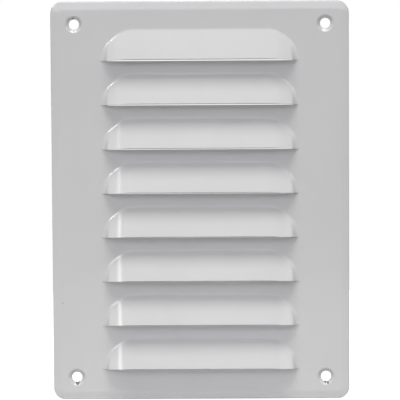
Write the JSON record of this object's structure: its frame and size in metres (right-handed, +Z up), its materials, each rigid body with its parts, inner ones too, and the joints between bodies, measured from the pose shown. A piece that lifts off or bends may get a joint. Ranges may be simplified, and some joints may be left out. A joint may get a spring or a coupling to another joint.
{
  "type": "louvred ventilation grille",
  "caption": "Flat rectangular ventilation grille pressed from painted sheet metal, with a column of hooded louvres, a turned-back rim and dimpled screw holes at the corners.",
  "frame": {"origin": "centre of the plane of the wall, on the grille's two lines of symmetry across and up", "axes": "+Z up as fixed to the wall, the louvres opening downwards; +X to the right as seen from the front; the front faces -Y and the wall is at Y = 0"},
  "size_m": [0.1492, 0.0098, 0.2004],
  "materials": {
    "painted_sheet": "light grey-white semi-gloss powder coat"
  },
  "bodies": {
    "root": {"louvre_grille": "painted_sheet"}
  },
  "joints": []
}
